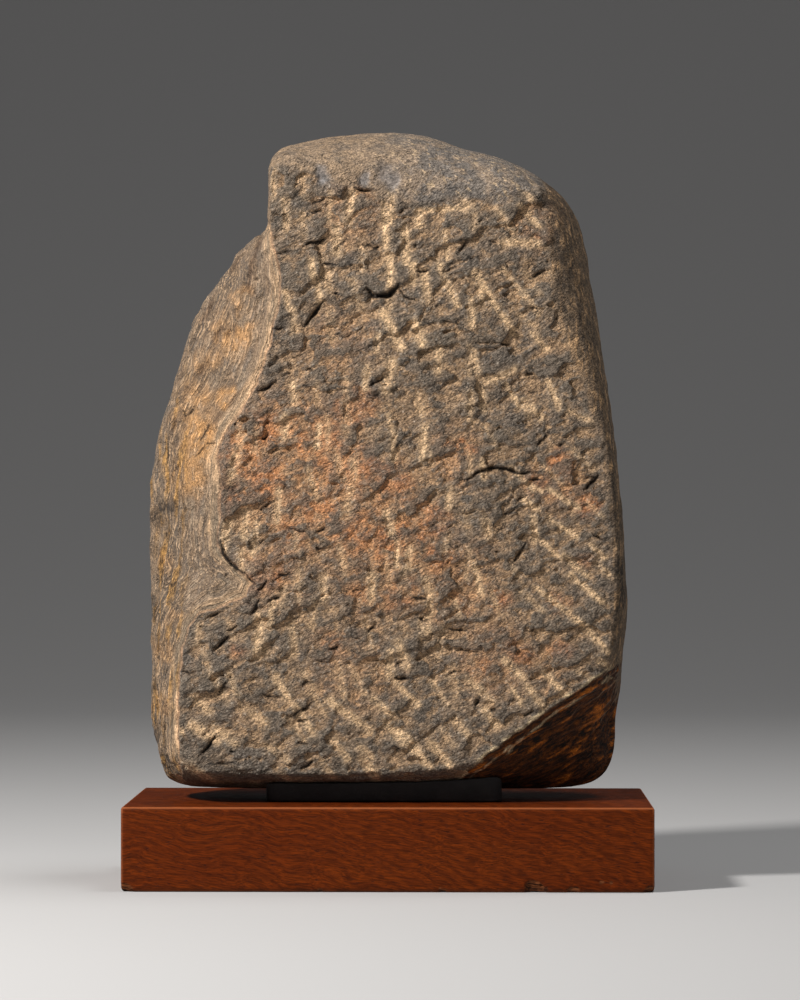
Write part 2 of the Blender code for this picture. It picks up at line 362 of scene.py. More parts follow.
def regions(points, normals):
    """How much of each kind of surface every point is, from 0 to 1, and its distance to the borders."""
    wander = np.zeros_like(points)
    for axis, seed in ((0, 301), (2, 302)):
        wander[:, axis] = EDGE_WANDER * rough_lumps(points, 11.0 * MM, seed, 2)
    shifted = points + wander
    found = {"front": ramp(-normals[:, 1], 0.05, 0.35)}
    found["ragged depth"] = points[:, 1] + DEPTH_WANDER * rough_lumps(points, 24.0 * MM, 93, 2)
    found["head side"] = ramp(-normals[:, 0], 0.45, 0.75) * ramp(points[:, 2], 0.402, 0.408)
    found["past fracture edge"] = -along_line(shifted, FRACTURE_EDGE)[0]
    found["below facet edge"] = -along_line(shifted, FACET_EDGE)[0]
    found["above cap edge"] = along_line(points + wander * 2.0, CAP_EDGE)[0]
    found["past right edge"] = along_line(shifted, RIGHT_EDGE)[0]
    return found


def weights_of(found):
    """Turns the distances into shares of each kind of surface."""
    front = found["front"]
    fracture = ramp(found["past fracture edge"], 0.0, 0.9 * MM) * (1.0 - found["head side"])
    facet = ramp(found["below facet edge"], 0.0, 0.9 * MM) * front
    cap = ramp(found["above cap edge"], -1.5 * MM, 2.5 * MM)
    cap = cap * (1.0 - ramp(found["past fracture edge"], 0.0, 3.0 * MM))
    right = ramp(found["past right edge"], -2.0 * MM, 5.0 * MM) * (1.0 - facet)
    face = front * (1.0 - fracture) * (1.0 - facet) * (1.0 - cap) * (1.0 - right)
    face = face * (1.0 - found["head side"])
    fracture = fracture * ramp(-found["ragged depth"], -4.0 * MM, 14.0 * MM)
    rest = np.clip(1.0 - face - fracture - facet - cap, 0.0, 1.0)
    return {"face": face, "fracture": fracture, "facet": facet, "cap": cap, "right": right, "rest": rest}


# %% [markdown]
# ## Chips and scallops
#
# A hard volcanic rock breaks in small shells. Each blow of the hammer leaves a little tilted plane
# with a step at its lower edge, so the broken ground looks like worn roof tiles. Cell noise gives
# the tiles: every cell gets a tilt of its own, leaning so that its lower edge stands proud, and
# small jumps from cell to cell become the steps.


# %% Broken ground
def warped(points, reach, size, seed):
    """Points moved a little by soft noise, so that the cells drawn from them have ragged borders."""
    moved = points.copy()
    for axis in range(3):
        moved[:, axis] += reach * rough_lumps(points, size, seed + axis, 2)
    return moved


FABRIC_RISE = math.radians(25.0)  # the rock's own layers climb to the right


def laid(points, rise, squeeze):
    """Points in a frame that climbs to the right, squeezed along it so that noise comes out long."""
    along = points[:, 0] * math.cos(rise) + points[:, 2] * math.sin(rise)
    across = -points[:, 0] * math.sin(rise) + points[:, 2] * math.cos(rise)
    return np.stack([along * squeeze, points[:, 1], across], axis=1)


SHINGLE_LEAN = np.array([-0.25, 0.0, 1.0])  # tiles lean back towards their upper left


def chips(points, size, tilt, step, lean, seed):
    """Tilted planes of about this size, with steps between them."""
    ragged = warped(points, size * 0.22, size * 0.5, seed)
    _, _, away, luck = nearest_seeds(ragged, size, seed)
    slopes = (luck * 2.0 - 1.0) * tilt - SHINGLE_LEAN * lean
    return (away * slopes).sum(axis=1) + (luck[:, 1] - 0.5) * step


def scallops(points, size, depth, seed):
    """Shallow bowls side by side, with sharp ridges between them."""
    first = nearest_seeds(warped(points, size * 0.15, size * 0.6, seed), size, seed)[0]
    return -depth * (1.0 - np.clip(first, 0.0, 1.0) ** 2)


# %% [markdown]
# ## Chisel strokes
#
# The mason dressed the face with a pointed tool. On the left and in the middle the strokes are
# short, broad pecks that run nearly straight down; towards the right and along the foot they turn
# into longer, narrow furrows that slant from upper left to lower right. The most visible ones are
# listed one by one. The others follow the same rule on a loose grid, with a little luck in place,
# length and angle, the way a hand works across a surface.

# %% Where the strokes are
CLEAR_STROKES = (  # from (x, z), to (x, z), width
    ((0.018, 0.410), (0.047, 0.412), 3.0), ((0.018, 0.409), (0.019, 0.401), 4.0),
    ((-0.002, 0.414), (-0.001, 0.389), 4.5), ((0.010, 0.400), (0.011, 0.379), 4.5),
    ((-0.031, 0.399), (-0.031, 0.385), 5.0), ((0.015, 0.378), (0.015, 0.367), 4.0),
    ((0.000, 0.384), (0.002, 0.364), 4.5), ((0.031, 0.378), (0.035, 0.365), 4.0),
    ((0.036, 0.366), (0.042, 0.353), 4.0), ((0.052, 0.373), (0.076, 0.336), 3.4),
    ((-0.003, 0.349), (0.008, 0.327), 5.0), ((0.016, 0.342), (0.020, 0.330), 5.0),
    ((0.097, 0.307), (0.103, 0.291), 3.5), ((0.070, 0.391), (0.090, 0.390), 4.5),
    ((0.058, 0.306), (0.076, 0.314), 4.0), ((0.097, 0.242), (0.115, 0.230), 2.8),
    ((0.096, 0.225), (0.114, 0.213), 2.8), ((0.092, 0.211), (0.105, 0.199), 2.6),
    ((0.088, 0.224), (0.089, 0.211), 3.5), ((0.123, 0.208), (0.131, 0.200), 3.0),
    ((0.110, 0.190), (0.130, 0.173), 3.0), ((0.090, 0.182), (0.119, 0.159), 3.0),
    ((0.121, 0.156), (0.133, 0.143), 3.2), ((0.070, 0.139), (0.082, 0.127), 3.6),
    ((0.094, 0.131), (0.107, 0.118), 3.6), ((0.084, 0.123), (0.094, 0.110), 3.6),
    ((0.006, 0.095), (0.023, 0.076), 4.2), ((0.026, 0.088), (0.037, 0.075), 4.2),
    ((-0.036, 0.114), (-0.011, 0.096), 4.2), ((0.011, 0.092), (0.025, 0.074), 4.0),
)
print(len(CLEAR_STROKES), "clear strokes")

# %% The other strokes
PECK_SPACING = (16.0 * MM, 24.0 * MM)
FACE_SPAN = ((-0.130, 0.140), (0.066, 0.430))
STEEP, SLANTED = 88.0, 36.0  # degrees below the horizontal, towards the right


def stroke_angle(x, z):
    """Strokes stand nearly upright, and lean over towards the right side and the foot."""
    toward_right = ramp(np.array(x - 0.035), 0.0, 0.070)
    toward_foot = ramp(np.array(0.150 - z), 0.0, 0.050)
    lean = max(float(toward_right), 0.85 * float(toward_foot))
    return math.radians(STEEP + (SLANTED - STEEP) * lean)


def other_strokes(rng):
    """Strokes on a loose grid, wherever no clear stroke is near."""
    (left, right), (low, high) = FACE_SPAN
    made = []
    for z in np.arange(low, high, PECK_SPACING[1]):
        for x in np.arange(left, right, PECK_SPACING[0]):
            luck = rng.random(6)
            place = np.array([x, z]) + (luck[:2] - 0.5) * PECK_SPACING * np.array([1.1, 1.2])
            angle = stroke_angle(*place) + (luck[2] - 0.5) * 0.5
            narrow = ramp(np.array(place[0] - 0.04), 0.0, 0.06)
            length = (9.0 + 11.0 * luck[3]) * MM
            width = (3.0 + 2.2 * luck[4]) * (1.0 - 0.3 * narrow)
            half = np.array([math.cos(angle), -math.sin(angle)]) * length / 2.0
            clear = all(
                np.linalg.norm((np.array(a) + np.array(b)) / 2.0 - place) > 11.0 * MM
                for a, b, _ in CLEAR_STROKES
            )
            if clear and luck[5] > 0.12:
                made.append((tuple(place - half), tuple(place + half), width))
    return made


rng = np.random.default_rng(41)
strokes = list(CLEAR_STROKES) + other_strokes(rng)
print(len(strokes), "strokes on the dressed face")


# %% Strokes as grooves
def near(flat, start, end, reach):
    """Which points lie in the box around a line, grown by reach."""
    low = np.minimum(start, end) - reach
    high = np.maximum(start, end) + reach
    return np.nonzero(((flat > low) & (flat < high)).all(axis=1))[0]


def cut_strokes(points, strokes):
    """Depth of the grooves, and how strongly each point is marked by a stroke."""
    flat = warped(points, 0.55 * MM, 3.0 * MM, 211)[:, (0, 2)]
    depth = np.zeros(len(points))
    mark = np.zeros(len(points))
    for number, (start, end, width) in enumerate(strokes):
        start, end, half = np.array(start), np.array(end), width * MM / 2.0
        strength = 1.0 if number < len(CLEAR_STROKES) else 0.35 + 0.6 * math.sin(number * 2.4) ** 2
        index = near(flat, start, end, half * 2.5)
        length = np.linalg.norm(end - start)
        way = (end - start) / length
        offset = flat[index] - start
        along = np.clip(offset @ way, 0.0, length)
        beside = np.linalg.norm(offset - along[:, None] * way, axis=1) / half
        bite = 0.55 + 0.45 * np.sin(math.pi * along / length)
        groove = (0.30 * MM + 0.20 * half) * bite * np.clip(1.0 - beside**2, 0.0, 1.0)
        depth[index] = np.maximum(depth[index], groove * (0.5 + 0.5 * strength))
        dusted = 0.75 * (1.0 - ramp(beside, 0.50, 1.45)) + 0.25 * (1.0 - ramp(beside, 1.0, 2.4))
        mark[index] = np.maximum(mark[index], dusted * strength)
    return depth, mark * (0.60 + 0.40 * ramp(lumps(points, 4.5 * MM, 215), -0.40, 0.15))


# %% [markdown]
# ## Ledges
#
# Here and there a shell of stone broke off without leaving: the ground drops sharply along a short
# line and then rises again slowly. These small cliffs hold the darkest shadows of the face, so the
# largest are listed one by one, and a good many small ones are scattered between them.

# %% Where the ledges are
CLEAR_LEDGES = (  # corners (x, z), with the dropped side on the right hand, then the drop in mm
    (((-0.021, 0.425), (-0.015, 0.423), (-0.007, 0.424)), 2.4),
    (((-0.053, 0.389), (-0.046, 0.392), (-0.038, 0.394)), 2.4),
    (((-0.067, 0.385), (-0.058, 0.387)), 1.2),
    (((-0.011, 0.386), (-0.005, 0.390)), 1.4),
    (((-0.040, 0.379), (-0.031, 0.378)), 1.6),
    (((-0.013, 0.365), (-0.008, 0.360), (0.000, 0.361), (0.006, 0.366)), 4.2),
    (((0.007, 0.363), (0.010, 0.359), (0.019, 0.356)), 1.6),
    (((0.016, 0.374), (0.026, 0.375)), 1.6),
    (((-0.052, 0.340), (-0.047, 0.347), (-0.039, 0.357)), 3.0),
    (((-0.071, 0.339), (-0.063, 0.340)), 2.0),
    (((-0.080, 0.301), (-0.074, 0.304), (-0.067, 0.309)), 2.4),
    (((0.061, 0.392), (0.067, 0.392)), 1.3),
    (((0.045, 0.246), (0.054, 0.253), (0.063, 0.256), (0.072, 0.255), (0.080, 0.252), (0.090, 0.253)), 2.8),
    (((0.117, 0.241), (0.127, 0.251)), 2.6),
    (((0.088, 0.267), (0.098, 0.278)), 1.6),
    (((0.036, 0.158), (0.049, 0.157)), 1.8),
    (((0.051, 0.110), (0.056, 0.117)), 1.8),
    (((0.004, 0.128), (0.014, 0.128)), 2.4),
    (((0.074, 0.196), (0.083, 0.210)), 1.5),
    (((-0.080, 0.179), (-0.073, 0.188)), 1.8),
    (((-0.084, 0.165), (-0.078, 0.176)), 1.8),
    (((-0.066, 0.189), (-0.058, 0.192)), 1.8),
    (((-0.111, 0.164), (-0.099, 0.169)), 1.8),
    (((-0.098, 0.156), (-0.090, 0.160)), 1.6),
    (((-0.106, 0.145), (-0.096, 0.154)), 2.0),
    (((-0.104, 0.117), (-0.098, 0.127)), 1.4),
    (((-0.115, 0.080), (-0.104, 0.094)), 2.4),
    (((-0.109, 0.076), (-0.093, 0.077)), 1.4),
    (((-0.054, 0.072), (-0.044, 0.079)), 1.8),
    (((-0.060, 0.104), (-0.043, 0.115)), 1.4),
    (((0.052, 0.330), (0.066, 0.331), (0.076, 0.329)), 1.2),
    (((-0.012, 0.305), (-0.003, 0.309)), 1.6),
    (((0.035, 0.378), (0.058, 0.384)), 0.9),
    (((-0.102, 0.213), (-0.099, 0.203), (-0.094, 0.197), (-0.085, 0.190)), 2.6),
    (((-0.086, 0.190), (-0.078, 0.184)), 1.4),
    (((-0.115, 0.272), (-0.109, 0.283)), 1.4),
    (((-0.125, 0.286), (-0.128, 0.291)), 1.2),
    (((-0.118, 0.262), (-0.112, 0.270)), 1.0),
)
print(len(CLEAR_LEDGES), "clear ledges")

# %% The other ledges
SMALL_LEDGES = 130


def other_ledges(rng):
    """Short cliffs that mostly rise to the right, as the stone likes to break."""
    (left, right), (low, high) = FACE_SPAN
    made = []
    for _ in range(SMALL_LEDGES):
        luck = rng.random(6)
        place = np.array([left + (right - left) * luck[0], low + (high - low) * luck[1]])
        angle = math.radians(-15.0 + 70.0 * luck[2])
        half = np.array([math.cos(angle), math.sin(angle)]) * (1.5 + 5.0 * luck[3] ** 2) * MM
        bow = np.array([-half[1], half[0]]) * (luck[4] - 0.35) * 0.7
        made.append(((tuple(place - half), tuple(place + bow), tuple(place + half)), 0.5 + 1.1 * luck[5]))
    return made


ledges = list(CLEAR_LEDGES) + other_ledges(rng)
print(len(ledges), "ledges on the dressed face")


# %% Ledges as drops and open slots
def cut_ledges(points, ledges):
    """Depth of the drop and the open slot beside each ledge, and how deep in a slot each point lies."""
    ragged = warped(points, 0.7 * MM, 4.0 * MM, 231)
    depth = np.zeros(len(points))
    slot_shade = np.zeros(len(points))
    for line, drop in ledges:
        reach = (2.5 + 3.0 * drop) * MM
        corners = np.array(line)
        index = near(ragged[:, (0, 2)], corners.min(axis=0), corners.max(axis=0), reach)
        beside, share = along_line(ragged[index], line)
        below = -beside
        taper = np.sin(math.pi * np.clip(share, 0.02, 0.98)) ** 0.7
        ends = (share > 0.001) & (share < 0.999)
        fall = ramp(below, -0.2 * MM, 0.6 * MM) * np.exp(-np.clip(below, 0.0, None) / (reach * 0.45))
        half = (0.36 + 0.38 * drop) * MM * (0.25 + 0.75 * taper)
        slot = ends * np.clip(1.0 - ((below - half * 0.8) / half) ** 2, 0.0, 1.0)
        deep = 0.55 * drop * MM * taper * ends * fall + (0.6 + 0.6 * drop) * MM * slot * taper
        depth[index] = np.maximum(depth[index], deep)
        # this slot mask is later painted near-black, as painted shade in the open slot
        slot_shade[index] = np.maximum(slot_shade[index], slot**0.5 * min(1.0, 0.35 + drop / 2.2))
    return depth, slot_shade


# %% [markdown]
# ## Fractures
#
# The long fracture on the left is one old break: a smooth strip right beside the dressed face, then
# broad flutes that run down to the left. The dark fracture at the lower right is younger and
# rougher, a stack of thin parallel ridges that rise to the right.

# %% The two fractures
FLUTE_RIDGES = (  # crests (x, z) on the long fracture, then their height in mm and half width in mm
    (((-0.070, 0.396), (-0.071, 0.376), (-0.070, 0.366), (-0.074, 0.345), (-0.076, 0.327),
      (-0.080, 0.316), (-0.088, 0.304), (-0.099, 0.295), (-0.107, 0.283)), 1.6, 5.0),
    (((-0.080, 0.395), (-0.085, 0.381), (-0.088, 0.360), (-0.108, 0.336), (-0.111, 0.325),
      (-0.128, 0.299), (-0.136, 0.276)), 2.6, 8.0),
    (((-0.095, 0.385), (-0.108, 0.362), (-0.122, 0.338), (-0.132, 0.308), (-0.142, 0.280)), 1.8, 6.0),
    (((-0.112, 0.262), (-0.124, 0.246), (-0.136, 0.232)), 1.0, 9.0),
    (((-0.140, 0.255), (-0.141, 0.215), (-0.138, 0.180), (-0.135, 0.150)), 1.0, 8.0),
)
FRACTURE_STEP = 2.2 * MM  # the dressed face stands this far above the fracture's edge


def carve_fracture(points, found):
    past = found["past fracture edge"]
    height = -FRACTURE_STEP * ramp(past, 0.0, 1.6 * MM) * (1.0 - ramp(past, 8.0 * MM, 26.0 * MM))
    for line, crest, half_width in FLUTE_RIDGES:
        away = np.abs(along_line(points, line)[0]) / (half_width * MM)
        height += crest * MM * np.clip(1.0 - away, 0.0, 1.0)
    sandy = ramp(past, 4.0 * MM, 12.0 * MM)
    height += 0.7 * MM * rough_lumps(points * np.array([1.0, 1.0, 0.55]), 16.0 * MM, 61, 3)
    height += 0.45 * MM * sandy * rough_lumps(points, 4.0 * MM, 65, 2)
    height += chips(points, 13.0 * MM, 0.07, 0.35 * MM, 0.02, 67) * sandy
    flow = np.stack([past, points[:, 1] * 0.6, points[:, 2] * 0.14], axis=1)
    height += 0.60 * MM * rough_lumps(flow, 6.0 * MM, 303, 3)
    outer = ramp(-points[:, 0], 0.124, 0.138)
    upright = points * np.array([1.0, 1.0, 0.22])
    return height + outer * 1.4 * MM * rough_lumps(upright, 5.5 * MM, 301, 3)


# %% The facet's ridges
RIDGE_RISE = math.radians(27.0)


def facet_streaks(points):
    streaks = laid(points, RIDGE_RISE, 0.20) * np.array([1.0, 0.35, 1.0])
    streaks[:, 2] += 1.6 * MM * lumps(points, 24.0 * MM, 71)
    return streaks


def carve_facet(points, found):
    """Thin stacked ridges: noise that is stretched along them and steep across them."""
    streaks = facet_streaks(points)
    height = 1.2 * MM * lumps(streaks, 5.0 * MM, 72) + 0.9 * MM * lumps(streaks, 2.4 * MM, 73)
    height += 1.5 * MM * lumps(streaks, 13.0 * MM, 74)
    below = found["below facet edge"]
    ragged = below + 1.0 * MM * lumps(points, 7.0 * MM, 75)
    lip = 1.0 * MM * ramp(below, 0.0, 1.0 * MM)
    return height - lip - 1.1 * MM * ramp(ragged, 5.5 * MM, 6.3 * MM)


# %% [markdown]
# ## Cap, sides and back
#
# The rest of the boulder was never dressed. The cap and the right side are worn smooth, with faint
# pits; the back and the left flank keep a plainer, weathered surface with low scallops.


# %% Worn surfaces
def carve_cap(points):
    height = 0.55 * MM * rough_lumps(points, 30.0 * MM, 81, 2)
    return height + 0.28 * MM * rough_lumps(points, 7.0 * MM, 83, 3) - 0.25 * MM


def carve_rest(points):
    upright = points * np.array([1.0, 1.0, 0.45])
    height = 1.0 * MM * rough_lumps(points, 34.0 * MM, 91, 2)
    height += 0.45 * MM * rough_lumps(upright, 9.0 * MM, 93, 3)
    return height + scallops(points, 15.0 * MM, 0.8 * MM, 95) * 0.6


# %% The whole relief
def carve_face(points):
    broad = 1.1 * MM * rough_lumps(points, 34.0 * MM, 51, 2)
    layered = laid(points, FABRIC_RISE, 0.55)
    ground = chips(layered, 16.0 * MM, 0.13, 0.85 * MM, 0.05, 53)
    ground += chips(layered, 7.0 * MM, 0.13, 0.34 * MM, 0.05, 55)
    ground += scallops(points, 7.0 * MM, 0.16 * MM, 57)
    fine = 0.30 * MM * rough_lumps(layered, 2.6 * MM, 59, 2)
    return broad + ground + fine - 0.6 * MM


def relief(points, normals):
    """The height of the finished surface above the smooth blank, at every point."""
    found = regions(points, normals)
    share = weights_of(found)
    groove, _ = cut_strokes(points, strokes)
    drop, _ = cut_ledges(points, ledges)
    cut_in = ramp(share["face"] + share["cap"], 0.3, 0.9)
    split = ramp(share["face"] + share["fracture"], 0.3, 0.9)
    height = share["face"] * carve_face(points) - cut_in * groove - split * drop
    height += share["fracture"] * carve_fracture(points, found)
    height += share["facet"] * carve_facet(points, found)
    height += share["cap"] * carve_cap(points)
    return height + share["rest"] * carve_rest(points)


# %% [markdown]
# ## Carving the stone
#
# Every point of the blank moves along its own normal by the relief's height. Then Decimate thins
# the mesh: it keeps small triangles where the surface turns and merges them where it is plain, and
# a vertex group tells it to spare the front, which is where the detail is.

# %% Carve and thin
STONE_TRIANGLES = 196000
PAD_TOP = (0.058, 0.075)  # below the first height the stone lies in the pad

points = points_of(stone)
normals = normals_of(stone)
height = relief(points, normals)
clear_of_pad = ramp(points[:, 2], *PAD_TOP)
height = height * (0.25 + 0.75 * clear_of_pad)  # what rests in the pad is hardly carved
carved = points + normals * height[:, None]
carved[:, 2] = np.minimum(carved[:, 2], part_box("stele")[1].z - 0.1 * MM)
move_points(stone, carved)
apply_modifier(stone, "SMOOTH", factor=0.35, iterations=1)

spare = stone.vertex_groups.new(name="thin here")
plain = 1.0 - ramp(-normals[:, 1], -0.1, 0.3)
for level in range(1, 11):
    members = np.nonzero(np.round(plain * 10).astype(int) == level)[0]
    spare.add(members.tolist(), level / 10.0, "REPLACE")
apply_modifier(stone, "DECIMATE", ratio=0.5, vertex_group="thin here", vertex_group_factor=0.6)
apply_modifier(stone, "DECIMATE", ratio=STONE_TRIANGLES / triangle_count(stone))
stone.vertex_groups.clear()
print("carved stone:", triangle_count(stone), "triangles")

# %% [markdown]
# ## Where the colours go
#
# Colour follows shape and history. Pale dust sits in the chisel strokes, rust in soft patches,
# near-black painted shade in the open slots beside the ledges, yellow clay on the outer edge of the
# old fracture. Each of these is worked out once for every point of the finished mesh and stored as
# an attribute, a named number the material can read. The material then breaks the masks up with its
# own finer noise.


# %% Store a mask
def store(piece, name, values):
    layer = piece.data.attributes.new(name, "FLOAT", "POINT")
    layer.data.foreach_set("value", np.clip(values, 0.0, 1.0).astype(np.float32))
    print(f"mask {name}: mean {float(np.mean(values)):.3f}")


def neighbour_mean(piece, values, rounds):
    """Blurs a value over the mesh: each round averages every point with its neighbours."""
    ends = np.empty(len(piece.data.edges) * 2, np.int32)
    piece.data.edges.foreach_get("vertices", ends)
    first, second = ends.reshape(-1, 2).T
    count = np.bincount(ends, minlength=len(values)) + 1.0
    for _ in range(rounds):
        total = values.copy()
        for axis in range(values.shape[1]):
            total[:, axis] += np.bincount(first, values[second, axis], len(values))
            total[:, axis] += np.bincount(second, values[first, axis], len(values))
        values = total / count[:, None]
    return values


def spots(points, places, seed):
    """Soft round patches with ragged borders: (x, z, radius, strength), in millimetres."""
    flat = warped(points, 5.0 * MM, 14.0 * MM, seed)[:, (0, 2)] / MM
    total = np.zeros(len(points))
    for x, z, radius, strength in places:
        away = np.hypot(flat[:, 0] - x, flat[:, 1] - z) / radius
        total = np.maximum(total, strength * (1.0 - ramp(away, 0.35, 1.25)))
    return total


# %% [markdown]
# Patches of colour have no shape of their own to follow, so they are listed one by one. The rust lies
# mostly left of the middle, where the stone is most porous; the sandy clay covers the upper fracture
# and runs down its outer edge.

# %% Where the patches lie
RUST_SPOTS = (
    (-75, 277, 12, 0.9), (-90, 262, 13, 0.9), (-97, 236, 12, 0.8), (-76, 247, 14, 0.8),
    (-53, 277, 15, 0.7), (-35, 268, 15, 0.7), (-20, 292, 15, 0.6), (-17, 253, 15, 0.8),
    (-41, 235, 15, 0.7), (4, 247, 13, 0.6), (7, 211, 15, 0.8), (-23, 217, 15, 0.7),
    (-59, 211, 12, 0.6), (25, 223, 13, 0.6), (31, 199, 9, 0.9), (41, 271, 5, 1.0),
    (51, 264, 5, 0.9), (89, 247, 8, 0.8), (104, 258, 8, 0.9), (123, 232, 9, 1.0),
    (66, 175, 9, 0.9), (43, 175, 9, 0.5), (7, 175, 12, 0.6), (-17, 175, 12, 0.5),
    (-71, 190, 9, 0.7), (-83, 181, 8, 0.6), (-20, 428, 5, 0.8), (95, 395, 7, 0.5),
    (104, 175, 8, 0.5), (119, 199, 6, 0.5), (80, 141, 9, 0.7), (104, 145, 8, 0.6),
    (56, 132, 8, 0.5), (-35, 151, 9, 0.5), (-92, 145, 6, 0.5), (-53, 175, 8, 0.5),
    (128, 400, 6, 0.6), (101, 410, 8, 0.6),
)
GLOW_SPOTS = (
    (-62, 256, 50, 1.0), (-8, 216, 46, 0.9), (38, 186, 34, 0.6), (104, 245, 20, 0.8), (-30, 330, 26, 0.4),
    (64, 140, 30, 0.5), (-20, 130, 30, 0.4), (-72, 190, 24, 0.6), (40, 262, 22, 0.6), (90, 400, 18, 0.5),
    (-20, 410, 26, 0.4), (100, 130, 20, 0.4),
)
SAND_SPOTS = (
    (-97, 335, 15, 1.0), (-115, 272, 20, 0.9), (-125, 250, 17, 0.9), (-140, 198, 9, 0.9),
    (-137, 143, 11, 1.0), (-138, 110, 9, 1.0), (-125, 285, 13, 0.8), (-102, 297, 9, 0.9),
    (-90, 358, 8, 0.7), (-130, 162, 7, 0.8), (-112, 320, 10, 0.6), (-120, 300, 12, 0.7),
)
BARE_SPOTS = (
    (-97, 370, 9, 1.0), (-101, 358, 6, 0.8), (-114, 340, 7, 0.9), (-124, 330, 6, 0.8), (-129, 315, 6, 0.8),
    (-108, 313, 7, 0.7), (-88, 352, 4, 0.6), (-76, 350, 4, 0.6), (-77, 362, 4, 0.6), (-104, 200, 12, 0.7),
    (-112, 222, 9, 0.5), (-104, 184, 10, 0.6), (-118, 196, 8, 0.5), (-96, 306, 5, 0.5),
)
# Spots where the stone is painted darker, most at its far left and right edges.
DARK_SPOTS = (
    (-145, 226, 9, 1.0), (-139, 231, 6, 0.8), (-148, 205, 5, 0.7), (-147, 170, 6, 0.8), (-146, 120, 6, 0.7),
    (-143, 92, 7, 0.7), (-136, 72, 6, 0.8), (-104, 84, 8, 0.6), (-112, 84, 6, 0.6), (140, 195, 7, 0.8),
    (143, 180, 9, 0.9), (146, 230, 8, 0.5), (147, 260, 8, 0.4), (-99, 245, 5, 0.7), (-78, 316, 4, 0.7),
)
POLISHED_SPOTS = ((-42, 432, 5, 0.8), (-12, 431, 4, 0.8), (1, 430, 7, 0.7))

# %% Measure the carved stone
points = points_of(stone)
normals = normals_of(stone)
found = regions(points, normals)
share = weights_of(found)
_, stroke_mark = cut_strokes(points, strokes)
_, slot_shade_mark = cut_ledges(points, ledges)
past = found["past fracture edge"]
below = found["below facet edge"]
wide = ((neighbour_mean(stone, points.copy(), 45) - points) * normals).sum(axis=1)
print("hollows up to", round(float(wide.max()) / MM, 2), "mm deep")

# %% Masks of the dressed face
store(stone, "stroke", stroke_mark * np.clip(share["face"] + share["cap"] * 0.9, 0.0, 1.0))
# Painted shade: the open slots beside the ledges are painted near-black.
store(stone, "slot_shade", slot_shade_mark * ramp(share["face"] + share["fracture"], 0.3, 0.9))
store(stone, "glow", spots(points, GLOW_SPOTS, 321) * share["face"])
store(stone, "rust", spots(points, RUST_SPOTS, 311) * (1.0 - share["fracture"]) * found["front"])
store(stone, "land", ramp(-wide, 0.02 * MM, 0.45 * MM) * share["face"])
store(stone, "valley", ramp(wide, 0.02 * MM, 0.50 * MM) * share["face"])

# %% [markdown]
# The long fracture has the most to tell. A pale strip runs beside the dressed face, with a bright
# rim. Below it come sand-coloured clay and bare rock in streaks that flow down to the left, a dark
# band of painted shade with some dark grain under each crest, and ochre on the outer edge.

# %% Masks of the long fracture
outer = ramp(-points[:, 0], 0.117, 0.131) * (1.0 - ramp(points[:, 2], 0.300, 0.330))
upright_streaks = ramp(lumps(points * np.array([1.0, 1.0, 0.25]), 7.0 * MM, 301), -0.05, 0.35)
flow = np.stack([past, points[:, 1] * 0.6, points[:, 2] * 0.16], axis=1)
flow_streaks = ramp(rough_lumps(flow, 7.0 * MM, 303, 2), -0.1, 0.5)
upper_outer = ramp(past, 14.0 * MM, 24.0 * MM) * ramp(points[:, 2], 0.290, 0.320)
bare = np.maximum(upper_outer * (0.30 + 0.55 * flow_streaks), 0.80 * outer * (1.0 - upright_streaks))
# A dark band beside each of the three upper crests: painted shade on the side turned from the lamp, with some
# dark grain.
ridge_shade_and_grain = np.zeros(len(points))
for line, _, _ in FLUTE_RIDGES[:3]:
    beside, _ = along_line(points, line)
    ridge_shade_and_grain = np.maximum(ridge_shade_and_grain, ramp(beside, -0.4 * MM, 0.5 * MM) * (1.0 - ramp(beside, 1.5 * MM, 5.0 * MM)))
strip = 1.0 - ramp(past, 4.0 * MM, 9.0 * MM)
rim = ramp(past, -0.6 * MM, 0.2 * MM) * (1.0 - ramp(past, 0.8 * MM, 2.0 * MM)) * found["front"]
PAST_REACH = 0.2  # the distance from the border is stored as a share of this, in metres

store(stone, "fracture", share["fracture"])
store(stone, "past", past / PAST_REACH)
store(stone, "sand", spots(points, SAND_SPOTS, 331) * ramp(-points[:, 1], -20.0 * MM, 5.0 * MM))
store(stone, "ochre", outer * upright_streaks)
store(stone, "bare", np.maximum(bare, spots(points, BARE_SPOTS, 341)))
store(stone, "ridge_shade_and_grain", ridge_shade_and_grain * ramp(lumps(points, 11.0 * MM, 345), -0.35, 0.25) * share["fracture"])
store(stone, "strip", strip * share["fracture"])
store(stone, "rim", rim * (1.0 - share["cap"]))

# %% Masks of the facet, the cap and the right side
streaks = facet_streaks(points)
crest = lumps(streaks, 5.0 * MM, 72) + 1.2 * lumps(streaks, 2.4 * MM, 73)
lip = ramp(below, -1.6 * MM, -0.5 * MM) * (1.0 - ramp(below, 0.2 * MM, 1.0 * MM))
ragged = below + 1.0 * MM * lumps(points, 7.0 * MM, 75)
second_lip = ramp(ragged, 4.2 * MM, 4.8 * MM) * (1.0 - ramp(ragged, 5.4 * MM, 6.0 * MM)) * share["facet"]
lip = np.maximum(lip, second_lip * 0.75)

store(stone, "facet", share["facet"])
